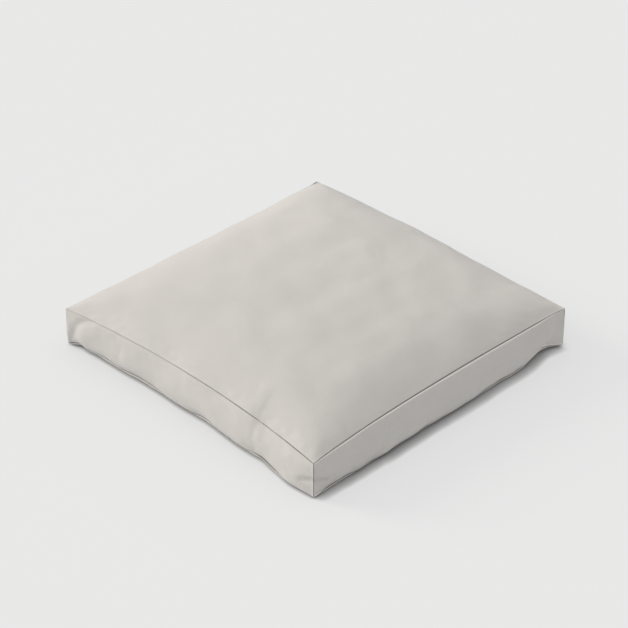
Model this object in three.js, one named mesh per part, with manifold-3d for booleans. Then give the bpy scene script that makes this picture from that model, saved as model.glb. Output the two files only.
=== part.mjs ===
// A square boxed floor cushion, taken apart into the pieces it is sewn and filled from.
//
// The cover is two panels joined by a boxing band. Three sides of the band are plain strips, and
// the back side is two strips with a closed coil zip between them. Inside are a lining in two
// halves, a fibre wrap in two halves and a foam core. Every seam has its own line of thread.
//
// Millimetres, +Z up. The origin is on the floor under the middle of the cushion, the front is -Y
// and the zip runs along X on the back, at +Y.

import * as THREE from "three";
import { mergeVertices } from "three/addons/utils/BufferGeometryUtils.js";
import Module from "manifold-3d";

const wasm = await Module();
wasm.setup();

// ---------------------------------------------------------------- driving dimensions

const SIDE = 600; // between two corner seams
const BOTTOM_SEAM_CORNER = 3; // the seams' heights above the floor, at a corner and half way
const BOTTOM_SEAM_MID = 4;
const TOP_SEAM_CORNER = 73;
const TOP_SEAM_MID = 80;
const CROWN = 40; // the top panel's rise above its seam
const CROWN_POWER = 0.9; // a little under 1, so that the crown rolls off at the seam
const CROWN_HIP = 1.9; // how sharply the crown's four slopes meet
const SIDE_INSET = 11; // how far a seam pulls in half way between two corners
const FLAT_LIMIT = 0.02; // the share of that lift at which the underside leaves the floor

const COVER_THICK = 0.8;
const LAYER_GAP = 0.4; // between pieces that touch in the real cushion
const SEAM_GAP = 1.2; // from a seam's line to the edge of each panel that it joins
const LINING_THICK = 0.6;
const ZIP_POCKET = 3.6; // the filling stands this much further in behind the zip
const THREAD_RADIUS = 0.35;
const TOPSTITCH_RADIUS = 0.25;
const TOPSTITCH_FROM_FOLD = 2.5;

const FOAM = { side: 560, height: 48, corner: 14, bevel: 3 };

const ZIP_Z = 41; // the height of the zip's line
const SLOT_HALF = 6; // from that line to the fabric on each side
const TAPE = { thick: 0.5, reach: 15, half_gap: 0.8, end_gap: 6 };
const COIL = { low: 0.85, high: 3.2, thick: 2.2, half_length: 268 };
const STOP = { length: 3, gap: 0.3 };
const SLIDER = {
  length: 11,
  front_half_width: 4.9,
  rear_half_width: 4.2,
  plate: 1.1,
  bevel: 0.25,
  coil_gap: 0.4,
  tape_gap: 0.45,
  flange: 0.95,
  wedge_half: 0.5,
  wedge_length: 2.8,
  end_gap: 0.8, // to a stop, at each end of its travel
};
const BRIDGE = { inner: 2.0, outer: 2.9, half_width: 0.9 };
const PULL = {
  bar_radius: 0.55,
  bar_height: 0.9, // the bar's centre above the slider's plate
  arm_inner: 1.3,
  arm_outer: 2.7,
  body_start: 3.7,
  length: 28,
  hole_radius: 1.3,
};

const PANEL_STEPS = 16; // lattice cells across a panel
const BAND_STEPS = 8; // and up a band
const ZIP_BAND_STEPS = 3; // and up each of the strips beside the zip
const THREAD_SIDES = 6;

const half = SIDE / 2;

// ---------------------------------------------------------------- materials

const cloth = (color, roughness = 0.9) =>
  new THREE.MeshStandardMaterial({ color, roughness, metalness: 0 });
const coverFabric = cloth(0xcfcbc6);
const seamThread = cloth(0xbdb9b3, 0.8);
const liningCloth = cloth(0xf1eee8);
const fibre = cloth(0xfafafa, 1);
const foam = cloth(0xf3ead0, 0.95);
const tapeCloth = cloth(0xc2beb8);
const coilNylon = cloth(0xb2aea8, 0.45);
const zipMetal = new THREE.MeshStandardMaterial({
  color: 0xb4b4b2,
  roughness: 0.35,
  metalness: 1,
});

// ---------------------------------------------------------------- the cushion's shape

// Across a lattice from -1 to 1, cells get smaller towards the seams, where the shape bends most.
const station = (s) => Math.sin((s * Math.PI) / 2);

// 0 over most of a panel, rising to 1 at its seams.
const border = (u, v) => 1 - (1 - u ** 8) * (1 - v ** 8);

/** 0 on the seams and 1 in the middle of a panel, rising on four slopes that meet on its diagonals. */
function openShare(u, v) {
  const [a, b] = [u, v].map((s) => Math.max(1 - s * s, 1e-6));
  return (2 / (a ** -CROWN_HIP + b ** -CROWN_HIP)) ** (1 / CROWN_HIP);
}

/** The top of the cover over (u, v), each from -1 to 1 between opposite seams. */
function topHeight(u, v) {
  const rise = TOP_SEAM_MID - TOP_SEAM_CORNER;
  return TOP_SEAM_CORNER + rise * (1 - u * u * v * v) + CROWN * openShare(u, v) ** CROWN_POWER;
}

/** The underside over (u, v): flat on the floor, and lifting to the seam round its border. */
function bottomHeight(u, v) {
  const lift = BOTTOM_SEAM_MID + (BOTTOM_SEAM_CORNER - BOTTOM_SEAM_MID) * u * u * v * v;
  return (lift * Math.max(0, border(u, v) - FLAT_LIMIT)) / (1 - FLAT_LIMIT);
}

/** A point of the cushion, with u, v and w from -1 to 1, on the layer at some depth in the cover. */
function skin(u, v, w, depth, pocket = 0) {
  const reach = half - depth;
  const top = topHeight(u, v) - depth;
  const bottom = bottomHeight(u, v) + depth;
  return new THREE.Vector3(
    u * (reach - SIDE_INSET * (1 - v * v) * w * w),
    v * (reach - SIDE_INSET * (1 - u * u) * w * w) - pocket * Math.max(0, v) ** 8,
    THREE.MathUtils.lerp(bottom, top, (w + 1) / 2),
  );
}

/** A point of a boxing band that faces +Y: t runs from -1 to 1 along it, at height z. */
function bandPoint(t, z, depth) {
  const low = bottomHeight(t, 1);
  const high = topHeight(t, 1);
  const w = (2 * (z - low)) / (high - low) - 1;
  return new THREE.Vector3(
    t * (half - depth),
    half - depth - SIDE_INSET * (1 - t * t) * w * w,
    z,
  );
}

// ---------------------------------------------------------------- geometry helpers

/** Moves every vertex of a geometry to where place says. */
function shaped(geometry, place) {
  const at = geometry.attributes.position;
  for (let i = 0; i < at.count; i++) {
    const p = place(at.getX(i), at.getY(i), at.getZ(i));
    at.setXYZ(i, p.x, p.y, p.z);
  }
  geometry.computeVertexNormals();
  return geometry;
}

/**
 * Turns each quad's diagonal to the one that lies further out, once a box is moved to its place.
 * Layers that lie on each other then bend along the same lines, and keep their gap.
 */
function ridged(geometry) {
  const { index } = geometry;
  const at = geometry.attributes.position;
  const middle = new THREE.Vector3(0, 0, ZIP_Z);
  const corner = (i) => new THREE.Vector3().fromBufferAttribute(at, i);
  const reach = (i, j) => corner(i).add(corner(j)).multiplyScalar(0.5).distanceTo(middle);
  for (let i = 0; i < index.count; i += 6) {
    const [a, b, d, , c] = index.array.subarray(i, i + 6);
    if (reach(a, c) > reach(b, d)) index.array.set([a, b, c, a, c, d], i);
  }
  geometry.computeVertexNormals();
  return geometry;
}

/** A closed geometry as a manifold-3d solid, to cut or join. */
function solidOf(geometry) {
  const bare = geometry.index ? geometry.toNonIndexed() : geometry.clone();
  bare.deleteAttribute("normal");
  bare.deleteAttribute("uv");
  const merged = mergeVertices(bare, 1e-4);
  return new wasm.Manifold(
    new wasm.Mesh({
      numProp: 3,
      vertProperties: merged.attributes.position.array,
      triVerts: new Uint32Array(merged.index.array),
    }),
  );
}

function geometryOf(solid) {
  const { vertProperties, triVerts } = solid.getMesh();
  const geometry = new THREE.BufferGeometry()
    .setAttribute("position", new THREE.BufferAttribute(vertProperties, 3))
    .setIndex(new THREE.BufferAttribute(triVerts, 1));
  geometry.computeVertexNormals();
  return geometry;
}

const joined = (geometries) => geometries.map(solidOf).reduce((a, b) => a.add(b));

/** A box between two corners. */
function block(low, high) {
  const size = high.map((h, i) => h - low[i]);
  const middle = high.map((h, i) => (h + low[i]) / 2);
  return new THREE.BoxGeometry(...size).translate(...middle);
}

function piece(name, geometry, material) {
  const mesh = new THREE.Mesh(geometry, material);
  mesh.name = name;
  return mesh;
}

// ---------------------------------------------------------------- the cover's panels

/** A station of the lattice, but no nearer than some gap to the end of the side. */
const stationShort = (s, gap) => THREE.MathUtils.clamp(station(s), gap / half - 1, 1 - gap / half);

/** The top (w = 1) or bottom (w = -1) panel: one sheet that ends just short of its seams. */
function panel(w) {
  const across = (s) => stationShort(s, SEAM_GAP);
  const sheet = new THREE.BoxGeometry(2, 2, 1, PANEL_STEPS, PANEL_STEPS, 1);
  return ridged(
    shaped(sheet, (x, y, z) => skin(across(x), across(y), w, COVER_THICK * (0.5 - w * z))),
  );
}

/** A strip that faces +Y, between two heights given as functions of t, in some layer's depths. */
function strip(low, high, rows, layer) {
  return shaped(new THREE.BoxGeometry(2, 1, 2, PANEL_STEPS, 1, rows), (x, y, z) => {
    const t = stationShort(x, layer.end_gap);
    const height = THREE.MathUtils.lerp(low(t), high(t), (z + 1) / 2);
    return bandPoint(t, height, layer.depth + layer.thick * (0.5 - y));
  });
}

const bandLayer = { depth: 0, thick: COVER_THICK, end_gap: SEAM_GAP };
const bandBottom = (t) => bottomHeight(t, 1) + SEAM_GAP;
const bandTop = (t) => topHeight(t, 1) - SEAM_GAP;

function cover() {
  const group = new THREE.Group();
  group.add(piece("top_panel", panel(1), coverFabric));
  group.add(piece("bottom_panel", panel(-1), coverFabric));
  for (const [name, quarterTurns] of [["band_front", 2], ["band_right", -1], ["band_left", 1]]) {
    const band = piece(name, strip(bandBottom, bandTop, BAND_STEPS, bandLayer), coverFabric);
    band.rotation.z = (quarterTurns * Math.PI) / 2;
    group.add(band);
  }
  const upper = strip(() => ZIP_Z + SLOT_HALF, bandTop, ZIP_BAND_STEPS, bandLayer);
  const lower = strip(bandBottom, () => ZIP_Z - SLOT_HALF, ZIP_BAND_STEPS, bandLayer);
  group.add(piece("zip_band_upper", upper, coverFabric));
  group.add(piece("zip_band_lower", lower, coverFabric));
  return group;
}

// ---------------------------------------------------------------- the thread in the seams

/** One closed loop of thread in the groove of the top (w = 1) or bottom (w = -1) seam. */
function seamLoop(w) {
  const corners = [[-1, -1], [1, -1], [1, 1], [-1, 1]];
  const depth = COVER_THICK / 2 + 0.1;
  const rings = corners.flatMap(([u0, v0], side) => {
    const [u1, v1] = corners[(side + 1) % 4];
    return Array.from({ length: PANEL_STEPS }, (_, step) => {
      const s = (1 + station((2 * step) / PANEL_STEPS - 1)) / 2;
      const u = u0 + (u1 - u0) * s;
      const v = v0 + (v1 - v0) * s;
      const out = new THREE.Vector3(Math.abs(u) === 1 ? u : 0, Math.abs(v) === 1 ? v : 0, 0);
      return { centre: skin(u, v, w, depth), out };
    });
  });
  // A torus of as many rings, each moved to its place on the seam.
  const torus = new THREE.TorusGeometry(2, 1, THREAD_SIDES, rings.length);
  return shaped(torus, (x, y, z) => {
    const turn = (Math.atan2(y, x) / (2 * Math.PI) + 1) % 1;
    const ring = rings[Math.round(turn * rings.length) % rings.length];
    const outwards = Math.hypot(x, y) - 2;
    return ring.centre
      .clone()
      .addScaledVector(ring.out, THREAD_RADIUS * outwards)
      .add(new THREE.Vector3(0, 0, THREAD_RADIUS * z));
  });
}

/** The thread of a corner seam, between the two loops. */
function cornerThread() {
  const clear = SEAM_GAP + LAYER_GAP;
  const low = BOTTOM_SEAM_CORNER + clear;
  const high = TOP_SEAM_CORNER - clear;
  return new THREE.CylinderGeometry(THREAD_RADIUS, THREAD_RADIUS, high - low, THREAD_SIDES)
    .rotateX(Math.PI / 2)
    .translate(0, 0, (low + high) / 2);
}

/** A row of topstitching along the zip, over the fabric above (side 1) or below (side -1) it. */
function topstitch(side) {
  const z = ZIP_Z + side * (SLOT_HALF + TOPSTITCH_FROM_FOLD);
  const row = new THREE.CylinderGeometry(1, 1, 2, THREAD_SIDES, PANEL_STEPS);
  return shaped(row.rotateZ(-Math.PI / 2), (x, y, z0) => {
    const t = (1 - (2 * SEAM_GAP) / half) * station(x);
    const over = TOPSTITCH_RADIUS + LAYER_GAP;
    const p = bandPoint(t, z, -over - TOPSTITCH_RADIUS * y);
    p.z += TOPSTITCH_RADIUS * z0;
    return p;
  });
}

function threads() {
  const group = new THREE.Group();
  group.add(piece("top_seam_thread", seamLoop(1), seamThread));
  group.add(piece("bottom_seam_thread", seamLoop(-1), seamThread));
  const at = half - COVER_THICK / 2 - 0.1;
  const ends = { front_left: [-1, -1], front_right: [1, -1], back_right: [1, 1], back_left: [-1, 1] };
  for (const [name, [u, v]] of Object.entries(ends)) {
    const thread = piece(`corner_thread_${name}`, cornerThread(), seamThread);
    thread.position.set(u * at, v * at, 0);
    group.add(thread);
  }
  group.add(piece("zip_topstitch_upper", topstitch(1), seamThread));
  group.add(piece("zip_topstitch_lower", topstitch(-1), seamThread));
  return group;
}

// ---------------------------------------------------------------- the zip

const tapeLayer = { depth: COVER_THICK + LAYER_GAP, thick: TAPE.thick, end_gap: TAPE.end_gap };
const tapeFace = half - tapeLayer.depth; // Y of the tape's outer face
const coilFace = tapeFace + 0.3; // Y of the coils' backs
const coilTop = coilFace + COIL.thick;
const plateBottom = coilTop + SLIDER.coil_gap;
const plateTop = plateBottom + SLIDER.plate;
const sliderTravel = 2 * (COIL.half_length - SLIDER.end_gap) - SLIDER.length;

/** One tape, above (side 1) or below (side -1) the zip's line. */
function tape(side) {
  const edges = [ZIP_Z + side * TAPE.half_gap, ZIP_Z + side * TAPE.reach].sort((a, b) => a - b);
  return strip(() => edges[0], () => edges[1], 2, tapeLayer);
}

/** One coil as a bar of its outer shape, with chamfered edges. */
function coil(side) {
  const bevel = 0.5;
  const section = new THREE.Shape();
  const width = COIL.high - COIL.low;
  const [w, h] = [width / 2, COIL.thick / 2];
  section.setFromPoints(
    [[w, h - bevel], [w - bevel, h], [bevel - w, h], [-w, h - bevel], [-w, bevel - h],
      [bevel - w, -h], [w - bevel, -h], [w, bevel - h]].map(([x, y]) => new THREE.Vector2(x, y)),
  );
  const length = 2 * COIL.half_length;
  return new THREE.ExtrudeGeometry(section, { depth: length, bevelEnabled: false })
    .translate(0, 0, -length / 2)
    .rotateY(Math.PI / 2)
    .translate(0, coilFace + h, ZIP_Z + side * (COIL.low + w));
}

/** A metal stop at the end of one coil, or of both where side is 0. */
function stop(end, side) {
  const near = end * (COIL.half_length + STOP.gap);
  const far = near + end * STOP.length;
  const low = side === 0 ? -COIL.high : Math.min(side * COIL.low, side * COIL.high);
  const high = side === 0 ? COIL.high : Math.max(side * COIL.low, side * COIL.high);
  return block(
    [Math.min(near, far), coilFace, ZIP_Z + low],
    [Math.max(near, far), coilTop, ZIP_Z + high],
  );
}

/** A slider's plate: broad where the coils part, and narrower behind, in the plane of X and Z. */
function plate(low, thick) {
  const [a, b, l] = [SLIDER.front_half_width, SLIDER.rear_half_width, SLIDER.length / 2];
  const round = 1.2;
  const outline = new THREE.Shape();
  outline.moveTo(-l + round, -b);
  outline.quadraticCurveTo(-l, -b, -l, -b + round);
  outline.lineTo(-l, b - round);
  outline.quadraticCurveTo(-l, b, -l + round, b);
  outline.lineTo(0, b);
  outline.lineTo(l - 2 * round, a);
  outline.quadraticCurveTo(l, a, l, a - 2 * round);
  outline.lineTo(l, -a + 2 * round);
  outline.quadraticCurveTo(l, -a, l - 2 * round, -a);
  outline.lineTo(0, -b);
  outline.closePath();
  const { bevel } = SLIDER;
  return new THREE.ExtrudeGeometry(outline, {
    depth: thick - 2 * bevel,
    bevelSize: bevel,
    bevelOffset: -bevel,
    bevelThickness: bevel,
    bevelSegments: 2,
    curveSegments: 4,
  })
    .rotateX(-Math.PI / 2)
    .translate(0, low + bevel, ZIP_Z);
}

/** The slider at the middle of the zip: two plates held apart by a wedge, and a bridge on top. */
function sliderBody() {
  const back = tapeFace - TAPE.thick - SLIDER.tape_gap;
  const parts = [plate(plateBottom, SLIDER.plate), plate(back - SLIDER.plate, SLIDER.plate)];
  const overlap = SLIDER.plate / 2; // how far a joined part reaches into a plate
  const front = SLIDER.length / 2 - 0.4;
  parts.push(
    block(
      [front - SLIDER.wedge_length, back - overlap, ZIP_Z - SLIDER.wedge_half],
      [front, plateBottom + overlap, ZIP_Z + SLIDER.wedge_half],
    ),
  );
  for (const side of [-1, 1]) {
    const edges = [side * (SLIDER.rear_half_width - SLIDER.flange), side * SLIDER.rear_half_width]
      .sort((p, q) => p - q)
      .map((z) => ZIP_Z + z);
    const length = SLIDER.length / 2 - 1;
    parts.push(
      block(
        [-length, tapeFace + SLIDER.tape_gap, edges[0]],
        [length, plateBottom + overlap, edges[1]],
      ),
    );
  }
  const arch = new THREE.Shape();
  arch.moveTo(BRIDGE.outer, -overlap);
  arch.lineTo(BRIDGE.outer, 0);
  arch.absarc(0, 0, BRIDGE.outer, 0, Math.PI, false);
  arch.lineTo(-BRIDGE.outer, -overlap);
  arch.lineTo(-BRIDGE.inner, -overlap);
  arch.lineTo(-BRIDGE.inner, 0);
  arch.absarc(0, 0, BRIDGE.inner, Math.PI, 0, true);
  arch.lineTo(BRIDGE.inner, -overlap);
  arch.closePath();
  parts.push(
    new THREE.ExtrudeGeometry(arch, {
      depth: 2 * BRIDGE.half_width,
      bevelEnabled: false,
      curveSegments: 12,
    }).translate(0, plateTop, ZIP_Z - BRIDGE.half_width),
  );
  return joined(parts);
}

/** The pull at the middle of the zip: a bar under the bridge, two arms, and a tongue with a hole. */
function pullTab() {
  const axis = plateTop + PULL.bar_height;
  const r = PULL.bar_radius;
  const outline = new THREE.Shape();
  outline.moveTo(0, -PULL.arm_outer);
  outline.lineTo(-PULL.length + PULL.arm_outer, -PULL.arm_outer);
  outline.absarc(-PULL.length + PULL.arm_outer, 0, PULL.arm_outer, -Math.PI / 2, Math.PI / 2, true);
  outline.lineTo(0, PULL.arm_outer);
  outline.closePath();
  const gap = new THREE.Path();
  gap.moveTo(r, -PULL.arm_inner);
  gap.lineTo(r, PULL.arm_inner);
  gap.lineTo(-PULL.body_start, PULL.arm_inner);
  gap.lineTo(-PULL.body_start, -PULL.arm_inner);
  gap.closePath();
  const eye = new THREE.Path();
  eye.absarc(-PULL.length + PULL.arm_outer, 0, PULL.hole_radius, 0, 2 * Math.PI, false);
  const flat = (shape, height) =>
    new THREE.ExtrudeGeometry(shape, { depth: height, bevelEnabled: false, curveSegments: 16 })
      .rotateX(-Math.PI / 2)
      .translate(0, axis - height / 2, ZIP_Z);
  const slab = solidOf(flat(outline, 2 * r));
  const holes = [gap, eye].map((path) => solidOf(flat(new THREE.Shape(path.getPoints(16)), 4 * r)));
  const bar = new THREE.CylinderGeometry(r, r, 2 * PULL.arm_outer, 20)
    .rotateX(Math.PI / 2)
    .translate(0, axis, ZIP_Z);
  return holes.reduce((rest, hole) => rest.subtract(hole), slab).add(solidOf(bar));
}

function zip() {
  const group = new THREE.Group();
  for (const [name, side] of [["upper", 1], ["lower", -1]]) {
    group.add(piece(`zip_tape_${name}`, tape(side), tapeCloth));
    group.add(piece(`zip_coil_${name}`, coil(side), coilNylon));
    group.add(piece(`zip_top_stop_${name}`, stop(1, side), zipMetal));
  }
  group.add(piece("zip_bottom_stop", stop(-1, 0), zipMetal));
  const carriage = new THREE.Group(); // the closed zip's slider waits at the right end
  carriage.position.x = sliderTravel / 2;
  carriage.add(piece("zip_slider_body", geometryOf(sliderBody()), zipMetal));
  carriage.add(piece("zip_pull_tab", geometryOf(pullTab()), zipMetal));
  group.add(carriage);
  return group;
}

// ---------------------------------------------------------------- the filling

const liningDepth = COVER_THICK + LAYER_GAP;
const wrapDepth = liningDepth + LINING_THICK + LAYER_GAP;

/** Everything inside one layer of the cushion. */
function bodyAt(depth) {
  const lattice = new THREE.BoxGeometry(2, 2, 2, PANEL_STEPS, PANEL_STEPS, BAND_STEPS);
  return solidOf(
    ridged(shaped(lattice, (x, y, z) => skin(station(x), station(y), z, depth, ZIP_POCKET))),
  );
}

/** The half space above (side 1) or below (side -1) the filling's own seam. */
function halfSpace(side) {
  const edges = [ZIP_Z + (side * LAYER_GAP) / 2, ZIP_Z + side * SIDE].sort((a, b) => a - b);
  return solidOf(block([-SIDE, -SIDE, edges[0]], [SIDE, SIDE, edges[1]]));
}

/** A square slab of foam with round corners, or the pocket for it, which is a little larger. */
function foamSlab(extra = 0) {
  const { side, height, corner, bevel } = FOAM;
  const h = side / 2 + extra;
  const r = corner + extra;
  const outline = new THREE.Shape();
  outline.moveTo(-h + r, -h);
  for (const [x, y, start] of [[1, -1, -90], [1, 1, 0], [-1, 1, 90], [-1, -1, 180]]) {
    const from = THREE.MathUtils.degToRad(start);
    outline.absarc(x * (h - r), y * (h - r), r, from, from + Math.PI / 2, false);
  }
  const thick = height + 2 * extra;
  return new THREE.ExtrudeGeometry(outline, {
    depth: thick - 2 * bevel,
    bevelSize: bevel,
    bevelOffset: -bevel,
    bevelThickness: bevel,
    bevelSegments: 1,
    curveSegments: 4,
  }).translate(0, -ZIP_POCKET / 2, ZIP_Z - thick / 2 + bevel);
}

function filling() {
  const group = new THREE.Group();
  const lining = bodyAt(liningDepth).subtract(bodyAt(liningDepth + LINING_THICK));
  const wrap = bodyAt(wrapDepth).subtract(solidOf(foamSlab(LAYER_GAP)));
  for (const [name, side] of [["top", 1], ["bottom", -1]]) {
    const part = halfSpace(side);
    group.add(piece(`lining_${name}`, geometryOf(lining.intersect(part)), liningCloth));
    group.add(piece(`fibre_wrap_${name}`, geometryOf(wrap.intersect(part)), fibre));
  }
  group.add(piece("foam_core", foamSlab(), foam));
  return group;
}

// ---------------------------------------------------------------- the whole cushion

const cushion = new THREE.Group();
cushion.add(cover(), threads(), zip(), filling());

export default cushion;
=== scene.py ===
"""The looks of a square boxed floor cushion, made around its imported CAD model.

The cover is a lattice of cloth that settles over its filling, cut to size and drawn in at its
seams. Every panel, thread, zip part and layer of filling is then built from that settled cloth.
All sizes are in metres.
"""

import math

import bpy
import numpy as np
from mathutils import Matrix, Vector


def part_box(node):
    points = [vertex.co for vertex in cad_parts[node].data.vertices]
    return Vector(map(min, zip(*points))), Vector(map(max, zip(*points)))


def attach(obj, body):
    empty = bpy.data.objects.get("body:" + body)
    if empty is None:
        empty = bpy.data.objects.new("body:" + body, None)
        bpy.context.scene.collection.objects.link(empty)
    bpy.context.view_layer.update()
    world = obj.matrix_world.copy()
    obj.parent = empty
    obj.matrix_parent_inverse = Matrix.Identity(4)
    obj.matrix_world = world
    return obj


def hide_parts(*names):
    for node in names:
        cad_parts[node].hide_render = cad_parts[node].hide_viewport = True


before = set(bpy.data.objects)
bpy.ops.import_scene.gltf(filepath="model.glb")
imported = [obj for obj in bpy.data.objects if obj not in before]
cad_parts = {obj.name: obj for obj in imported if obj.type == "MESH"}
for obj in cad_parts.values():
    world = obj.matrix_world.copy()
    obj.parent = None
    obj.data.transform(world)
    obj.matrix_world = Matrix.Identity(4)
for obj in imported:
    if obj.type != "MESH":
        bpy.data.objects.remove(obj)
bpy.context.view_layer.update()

MM = 0.001

# ---- sizes, from the frame

THREAD_RADIUS = 0.35 * MM
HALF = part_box("band_right")[1].x  # from the middle of the cushion to a corner seam
TOP_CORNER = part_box("top_seam_thread")[0].z + THREAD_RADIUS
BOTTOM_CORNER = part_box("bottom_seam_thread")[0].z + THREAD_RADIUS
CROWN_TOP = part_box("top_panel")[1].z
ZIP_Z = (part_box("zip_coil_upper")[0].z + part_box("zip_coil_lower")[1].z) / 2
ZIP_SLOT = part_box("zip_band_upper")[0].z - ZIP_Z  # from the zip's line to the fabric's fold
FOAM_LOW, FOAM_HIGH = (np.array(corner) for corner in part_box("foam_core"))

# Each side half way along, in mm: how far its seams pull in at the top and the bottom, how far the
# boxing between them swells out, how far the bottom seam lifts off the floor, and the top seam's rise.
SIDES = {
    "front": (14, 15, -3, 10.5, 9),
    "right": (7, 3, 6, 3.5, 5),
    "back": (3, 12, 4.5, 4, 14),
    "left": (12, 12, 7, 5, 8),
}
# Where the bottom seam is pushed about: the side, the place along it from -1 to 1, how far outwards
# and up in mm, and how much of the side it spreads over.
LOWER_SEAM = (
    ("front", -0.92, -2, 8, 0.045),
    ("front", -0.78, -2, 6, 0.16),
    ("front", -0.03, 2, -4, 0.16),
    ("front", 0.38, 4, -2, 0.16),
    ("front", 0.72, 6, -3.5, 0.2),
    ("right", 0.85, -7, 12, 0.14),
)
CORNER_RISE = {(1, -1): -4 * MM, (1, 1): 6 * MM}  # at the corners with these signs of x and y
CROWN = CROWN_TOP - TOP_CORNER - 7.5 * MM  # over and above the seams' rise
CROWN_POWER = 0.9  # the lower, the fuller the crown's shoulders
CROWN_HIP = 1.9  # how sharply the crown's slopes meet on the diagonals
BOW_LOW = 0.35  # how much fuller the boxing's swell is at its foot than half way up
TURN_FADE = 70 * MM  # over which the fullness of the bottom's turn is lost again
ON_SIDE = 0.999  # u, v and w are 1 on the sides of the box, and past this a point is on one
NEAR_BACK = 0.98  # past this, v is on the back or next to it

# ---- sizes of the cloth and its seams

CLOTH_THICK = 0.7 * MM
SEAM_ROLL = 1.7 * MM  # the radius with which cloth turns into a seam
SEAM_ALLOWANCE = 6 * MM
SEAM_CLEAR = 0.2 * MM  # between the two cloths in a seam
FINE_CELL = 4 * MM

EASE = 0.004  # how much longer the cloth is than the filling it covers
GATHER = 0.018  # how much a line of stitches shortens the cloth
SETTLING = ((100, 14, 320), (200, 28, 160))  # cells along a side, cells up a band, rounds


# ---- the filled shape


def fading(distance, reach):
    """1 where a distance is 0, falling smoothly towards 0 past a reach."""
    return np.exp(-((distance / reach) ** 2))


def length_of(vectors, **keep):
    """The length of each vector."""
    return np.linalg.norm(vectors, axis=-1, **keep)


def open_share(u, v):
    """0 on the seams, rising to 1 in the middle of a panel, with a hip along each diagonal."""
    a = np.maximum(1 - u * u, 1e-6)
    b = np.maximum(1 - v * v, 1e-6)
    return (a**-CROWN_HIP + b**-CROWN_HIP) ** (-1 / CROWN_HIP) * 2 ** (1 / CROWN_HIP)


def turn_under(distance, lift):
    """The bottom panel's quarter turn from a seam down to the floor, at some distance from the seam.

    Returns its height, and how much further out it is than if it ran straight in from the seam.
    """
    angle = np.minimum(distance / lift, math.pi / 2)
    past = np.maximum(distance - lift * math.pi / 2, 0)
    run = lift * (1 - np.cos(angle)) + past
    return lift * (1 - np.sin(angle)), (distance - run) * np.exp(-past / TURN_FADE)


def seam_push(side, along):
    """How far outwards and upwards a side's bottom seam is pushed, at places along it."""
    pushes = np.zeros((2,) + np.shape(along))
    for where, place, out, up, spread in LOWER_SEAM:
        if where == side:
            share = fading(along - place, spread) * (1 - along**24)
            pushes += share * np.reshape((out * MM, up * MM), (2,) + (1,) * np.ndim(along))
    return pushes


def seam_rise(u, v):
    """How far the top stands above its corners where it has no crown, blended from its sides."""
    near = [(1 + s) / 2 for s in (-v, u, v, -u)]
    weights = [share**3 for share in near]
    rises = [side[-1] * MM * share for side, share in zip(SIDES.values(), weights)]
    return sum(rises) / sum(weights) * (1 - u * u * v * v)


def between(first, second, place, along, w):
    """Where points stand between two opposite sides, and how high the bottom is there.

    place is -1 at the first side and 1 at the second, and along runs along both.
    """
    sizes = [np.where(place < 0, *pair) * MM for pair in zip(SIDES[first], SIDES[second])]
    top, low, swell, lift, _ = sizes
    push, rise = seam_push(first, along) * (place < 0) + seam_push(second, along) * (place > 0)
    high = (w + 1) / 2
    bow = (1 - w * w) * (1 - BOW_LOW * w)
    pull = (1 - along**2) * (high * top + (1 - high) * low) - (1 - high) * push
    stands = place * (HALF - pull + (1 - along**4) * bow * (top + swell))
    lift = lift * (1 - along**2) + BOTTOM_CORNER * along**2 + rise
    bottom, out = turn_under((1 - abs(place)) * HALF, lift)
    return stands + np.sign(place) * out * (w < -ON_SIDE) * (1 - along**8), bottom


def filled_shape(u, v, w):
    """The cushion's resting shape without its wrinkles, for arrays of u, v and w from -1 to 1."""
    top = TOP_CORNER + seam_rise(u, v)
    for (sign_x, sign_y), rise in CORNER_RISE.items():
        top = top + rise * (np.clip(sign_x * u, 0, 1) * np.clip(sign_y * v, 0, 1)) ** 3
    top = top + CROWN * open_share(u, v) ** CROWN_POWER
    x, bottom_x = between("left", "right", u, v, w)
    y, bottom_y = between("front", "back", v, u, w)
    bottom = np.maximum(bottom_x, bottom_y)
    return np.stack([x, y, bottom + (top - bottom) * (w + 1) / 2], axis=-1)


# ---- the lattice of cloth


def lattice(n, m):
    """The surface of a box of n by n by m cells.

    Returns each point's (u, v, w), and for each side the grid of its points' numbers. A side's
    first direction runs along it and its second up it, and together they face outwards.
    """
    along = np.arange(n + 1)
    up = np.arange(m + 1)
    first, second = np.meshgrid(along, along, indexing="ij")
    run, rise = np.meshgrid(along, up, indexing="ij")
    near = np.zeros_like(run)
    far = near + n
    corners = {
        "top": (first, second, first * 0 + m),
        "bottom": (second, first, first * 0),
        "front": (run, near, rise),
        "right": (far, run, rise),
        "back": (n - run, far, rise),
        "left": (near, n - run, rise),
    }
    keys = {side: (i * (n + 1) + j) * (m + 1) + k for side, (i, j, k) in corners.items()}
    used = np.unique(np.concatenate([key.ravel() for key in keys.values()]))
    grids = {side: np.searchsorted(used, key) for side, key in keys.items()}
    i, rest = np.divmod(used, (n + 1) * (m + 1))
    j, k = np.divmod(rest, m + 1)
    return np.stack([2 * i / n - 1, 2 * j / n - 1, 2 * k / m - 1]), grids


def unit(vectors):
    """Vectors scaled to a length of 1."""
    return vectors / np.maximum(length_of(vectors, keepdims=True), 1e-12)


def grid_normals(grid):
    """A unit normal at each point of a grid of points."""
    return unit(np.cross(np.gradient(grid, axis=0), np.gradient(grid, axis=1)))


def cover_normals(points, grids):
    """A unit normal at each point of the lattice. On a seam it is half way between the two sides'."""
    normals = np.zeros_like(points)
    for grid in grids.values():
        normals[grid] += grid_normals(points[grid])
    return unit(normals)


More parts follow.
